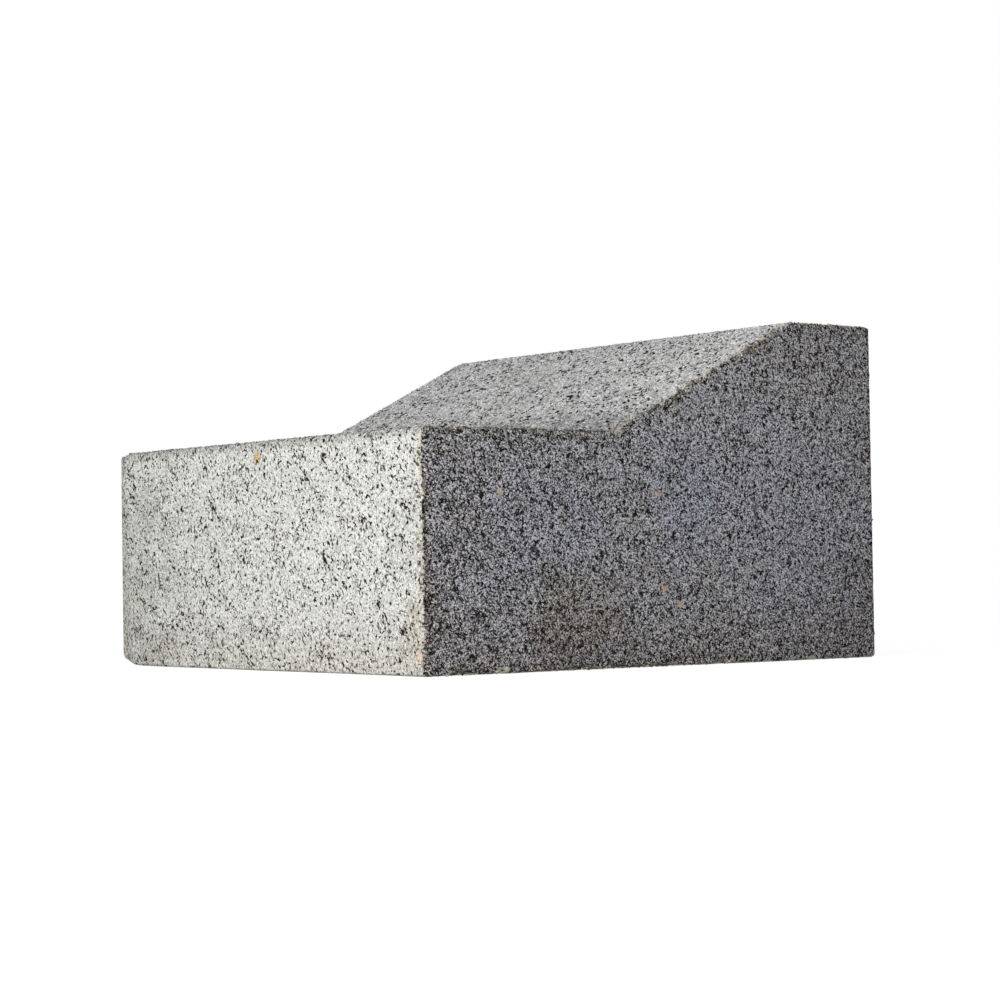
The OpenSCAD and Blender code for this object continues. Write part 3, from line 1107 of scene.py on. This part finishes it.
def concrete(scene):
    """Pressed concrete: a pale pitted skin on the cast faces and bare grit on both ends, with an uneven
    line and crumbs where they meet, stained by lime, earth and rust, darker in some patches and towards
    the bed, with painted shade in the hollow, the holes and the cracks and painted shading on the rounded
    grains."""
    colours = scene.kerb_colours
    sizes, stains, stones, weather, cast_look, open_look = (
        in_millimetres(group)
        for group in (
            scene.kerb_sizes, scene.kerb_stains, scene.kerb_stones,
            scene.kerb_weather, scene.kerb_cast_face, scene.kerb_open_face,
        )
    )
    g = Graph("pressed_concrete")
    metres = g.node("ShaderNodeTexCoord")[3]
    place = g.vector("SCALE", metres, Scale=1 / MM)
    _, back, height_up = g.node("ShaderNodeSeparateXYZ", {}, {"Vector": place})
    own_tone = g.mask("tone")
    marks = g.mask("pit"), g.mask("grit"), own_tone

    swing = g.sway(place, weather.rim_swing_size) * weather.rim_swing
    ripple = g.sway(place, weather.rim_ripple_size) * weather.rim_ripple
    straight_way = g.mask("rim_way")
    rim_way = straight_way + (swing + ripple)
    inside = rim_way.ramp(-0.3, 0.5)
    rim = rim_way.ramp(-weather.rim_on_skin, -0.2) * rim_way.ramp(weather.rim_on_end, 0.3)

    stretch = 2.2
    frayed = g.sway(place, weather.fray_size, detail=3.0, rough=0.6) * stretch
    covers = stain_covers(g, place, frayed, stains)
    earth, damp = covers["earth"], covers["damp"]
    bloom = covers["bloom"].at_least(frayed.ramp(0.05, 0.55) * inside * weather.bloom_mottle)
    # The foot: darker and a little earthier towards the bed, up to a height whose edge swings.
    foot = (height_up + frayed * weather.foot_swing).ramp(weather.foot_height, 0.0)
    # Painted shade in the hollow where the ledge turns up into the ramp, kept off the end faces.
    ledge = sizes.ledge_height
    hollow_shade = height_up.ramp(ledge + weather.hollow_shade_height, ledge + weather.hollow_shade_full)
    hollow_shade = hollow_shade * height_up.ramp(ledge - weather.hollow_shade_foot, ledge - weather.hollow_shade_base)
    hollow_shade = hollow_shade * back.ramp(weather.hollow_shade_end, weather.hollow_shade_start) * (1 - straight_way.ramp(-1.0, 0.0))
    # Darkening: earth stains, the dimming patches and the foot darken, and the hollow gets painted shade;
    # lime bloom and the pale end of the ramp brighten.
    shade = damp * weather.dimming_shade + earth * weather.earth_shade + foot * weather.foot_shade
    shade = shade + hollow_shade * weather.hollow_shade_strength
    shade = shade - bloom * weather.bloom_shine - covers["pale"] * weather.pale_shine

    cast, cast_height = cast_face(g, cast_look, colours, place, marks, shade)
    bare, bare_height = open_face(g, open_look, colours, place, marks, rim, shade)
    surface = g.blend(inside, cast, bare)
    surface = g.blend(bloom, surface, rgba(colours.bloom), "MULTIPLY")
    mottle = frayed.ramp(-0.05, -0.55) * inside * weather.earth_mottle
    earthy = earth.at_least(foot * weather.foot_tint).at_least(rim * weather.rim_tint).at_least(mottle)
    surface = g.blend(earthy, surface, rgba(colours.earth), "MULTIPLY")
    surface = g.blend(covers["rust"], surface, rgba(colours.rust), "MULTIPLY")
    shaken = g.bend(place, weather.shake_size, weather.shake_reach)
    for name, patch in vars(stones).items():
        tint = colours.cream if name == "cream_front" else colours.tan_grain
        surface = g.blend(set_stone(g, shaken, patch) * weather.stone_tint, surface, rgba(tint))
    crumb = g.blend(own_tone.ramp(0.5, 0.55), rgba(colours.crust), rgba(colours.cream))
    surface = g.blend(g.mask("crumb") * weather.crumb_tint, surface, crumb)
    height = cast_height + inside * (bare_height - cast_height)

    normal = g.node("ShaderNodeBump", {}, {"Strength": 1.0, "Distance": 1 * MM, "Height": height})[0]
    values = {
        "Base Color": surface,
        "Roughness": weather.roughness,
        "Specular IOR Level": weather.shine,
        "Normal": normal,
    }
    shader = g.node("ShaderNodeBsdfPrincipled", {}, values)[0]
    g.node("ShaderNodeOutputMaterial", {}, {"Surface": shader})
    return g.material


def seen_directly(g):
    """1 on rays that come straight from the camera, or by a mirror or glass, and 0 on lighting rays."""
    path = g.node("ShaderNodeLightPath")
    camera, glossy, through = path[0], path[3], path[6]
    return camera.at_least(glossy).at_least(through)


def pale_floor(stage):
    """Matt floor that glows a little in direct view, so that it is white with a faint shadow."""
    g = Graph("pale_floor")
    matt = g.node("ShaderNodeBsdfDiffuse", {}, {"Color": rgba(stage.floor_colour)})[0]
    glow = g.node("ShaderNodeEmission", {}, {"Strength": seen_directly(g) * stage.floor_glow})[0]
    both = g.node("ShaderNodeAddShader", {}, {0: matt, 1: glow})[0]
    g.node("ShaderNodeOutputMaterial", {}, {"Surface": both})
    return g.material


# Operators


class KERB_OT_cast_stone(Operator):
    """Casts the concrete skin over the block and gives it its finish"""

    bl_idname = "kerb.cast_stone"
    bl_label = "Cast Stone"

    def execute(self, context):
        scene = context.scene
        sizes, relief = in_millimetres(scene.kerb_sizes), in_millimetres(scene.kerb_relief)
        points, four, three, masks = closed_skin(sizes, relief)
        stone = mesh_object("concrete_skin", points * MM, four, three, masks)
        stone.data.materials.append(concrete(scene))
        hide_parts(BLOCK)
        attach(stone, "root")
        return {"FINISHED"}


class KERB_OT_strew_grit(Operator):
    """Strews grit over the upper faces and both ends, and crumbs along the square end's rim"""

    bl_idname = "kerb.strew_grit"
    bl_label = "Strew Grit"

    def execute(self, context):
        scene = context.scene
        sizes, relief = in_millimetres(scene.kerb_sizes), in_millimetres(scene.kerb_relief)
        section = Section(sizes, relief)
        rng = np.random.default_rng(GRIT_SEED)
        slope, stone, crumb = relief.slope_spacing, relief.stone_spacing, relief.crumb_spacing
        beds = {
            "upper_face_grit": (slope, 0.75, long_face_places(section, sizes, section.upper, slope, rng)),
            "square_end_stones": (stone, 0.3, end_places(section, sizes, 1, stone, rng)),
            "eased_end_stones": (stone, 0.3, end_places(section, sizes, -1, stone, rng)),
            "rim_crumbs": (crumb, 0.6, rim_places(section, crumb, relief.chip_reach, rng)),
        }
        spread_of_widths = 0.9
        for name, (spacing, least, (places, normals)) in beds.items():
            widths = spacing * (least + spread_of_widths * rng.uniform(0, 1, len(places)) ** 4)
            pit = pits(places, normals, relief)
            dip = pit * relief.pit_depth
            points, faces, tone = grit(places, normals, widths, relief.grit_height, dip, rng)
            masks = {
                "tone": tone,
                "rim_way": np.repeat(rim_distance(section, places, normals), GRAIN_CORNERS),
                "grit": np.ones(len(tone)),
                "pit": np.repeat(pit, GRAIN_CORNERS),
                "crumb": np.full(len(tone), name == "rim_crumbs", dtype=float),
            }
            none = np.empty((0, 4), dtype=np.int64)
            grains = mesh_object(name, points * MM, none, faces, masks, smooth=False)
            grains.data.materials.append(bpy.data.materials["pressed_concrete"])
            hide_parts(BLOCK)
            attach(grains, "root")
        return {"FINISHED"}


class KERB_OT_set_stage(Operator):
    """Lays the floor and sets up the light and the camera"""

    bl_idname = "kerb.set_stage"
    bl_label = "Set Stage"

    def execute(self, context):
        scene = context.scene
        stage = scene.kerb_stage
        self.lay_floor(stage)
        self.hang_lights(scene, stage)
        self.stand_camera(scene, stage)
        scene.view_settings.view_transform = "Standard"
        return {"FINISHED"}

    def lay_floor(self, stage):
        half = stage.floor_width / 2
        corners = np.array([(-half, -half, 0), (half, -half, 0), (half, half, 0), (-half, half, 0)])
        floor = mesh_object("floor", corners, np.arange(4)[None], np.empty((0, 3), dtype=np.int64), {})
        floor.data.materials.append(pale_floor(stage))

    def hang_lights(self, scene, stage):
        lamp = bpy.data.lights.new("softbox", "AREA")
        lamp.shape = "DISK"
        lamp.size = stage.key_width
        lamp.energy = stage.key_power
        softbox = bpy.data.objects.new("softbox", lamp)
        middle = (Vector(CAD_BOX[0]) + Vector(CAD_BOX[1])) / 2
        softbox.location = stage.key_place
        softbox.rotation_euler = (middle - softbox.location).to_track_quat("-Z", "Y").to_euler()
        scene.collection.objects.link(softbox)

        scene.world = bpy.data.worlds.new("studio")
        scene.world.use_nodes = True
        g = Graph("studio", scene.world.node_tree)
        direct = seen_directly(g)
        strength = direct + (1 - direct) * stage.fill
        sky = g.node("ShaderNodeBackground", {}, {"Color": (1, 1, 1, 1), "Strength": strength})[0]
        g.node("ShaderNodeOutputWorld", {}, {"Surface": sky})

    def stand_camera(self, scene, stage):
        camera = bpy.data.cameras.new("camera")
        camera.lens = stage.lens
        camera.sensor_width = stage.sensor_width
        camera.clip_start = stage.clip_start
        viewer = bpy.data.objects.new("camera", camera)
        level = math.pi / 2
        facing = Euler((level + stage.camera_pitch, 0, stage.camera_heading)).to_matrix()
        turned = facing @ Matrix.Rotation(stage.camera_roll, 3, "Z")
        viewer.matrix_world = Matrix.LocRotScale(Vector(stage.camera_place), turned, None)
        scene.collection.objects.link(viewer)
        scene.camera = viewer


class KERB_PT_sidebar(Panel):
    """Sizes, relief, finish, stains and stage of the kerb stone, with the buttons that make it"""

    bl_idname = "KERB_PT_sidebar"
    bl_label = "Kerb Stone"
    bl_space_type = "VIEW_3D"
    bl_region_type = "UI"
    bl_category = "Kerb"

    def draw(self, context):
        scene = context.scene
        for group in (getattr(scene, name) for name in GROUPS):
            box = self.layout.box()
            for name in group.__annotations__:
                box.prop(group, name)
        self.layout.operator(KERB_OT_cast_stone.bl_idname)
        self.layout.operator(KERB_OT_strew_grit.bl_idname)
        self.layout.operator(KERB_OT_set_stage.bl_idname)


GROUPS = {
    "kerb_sizes": KerbSizes,
    "kerb_relief": KerbRelief,
    "kerb_colours": KerbColours,
    "kerb_cast_face": KerbCastFace,
    "kerb_open_face": KerbOpenFace,
    "kerb_weather": KerbWeather,
    "kerb_stains": KerbStains,
    "kerb_stones": KerbStones,
    "kerb_stage": KerbStage,
}
CLASSES = (
    *GROUPS.values(), KERB_OT_cast_stone, KERB_OT_strew_grit, KERB_OT_set_stage, KERB_PT_sidebar
)


def register():
    for cls in CLASSES:
        bpy.utils.register_class(cls)
    for name, group in GROUPS.items():
        setattr(bpy.types.Scene, name, PointerProperty(type=group))


def unregister():
    for name in GROUPS:
        delattr(bpy.types.Scene, name)
    for cls in reversed(CLASSES):
        bpy.utils.unregister_class(cls)


def main():
    register()
    bpy.ops.kerb.cast_stone()
    bpy.ops.kerb.strew_grit()
    bpy.ops.kerb.set_stage()


if __name__ == "__main__":
    main()
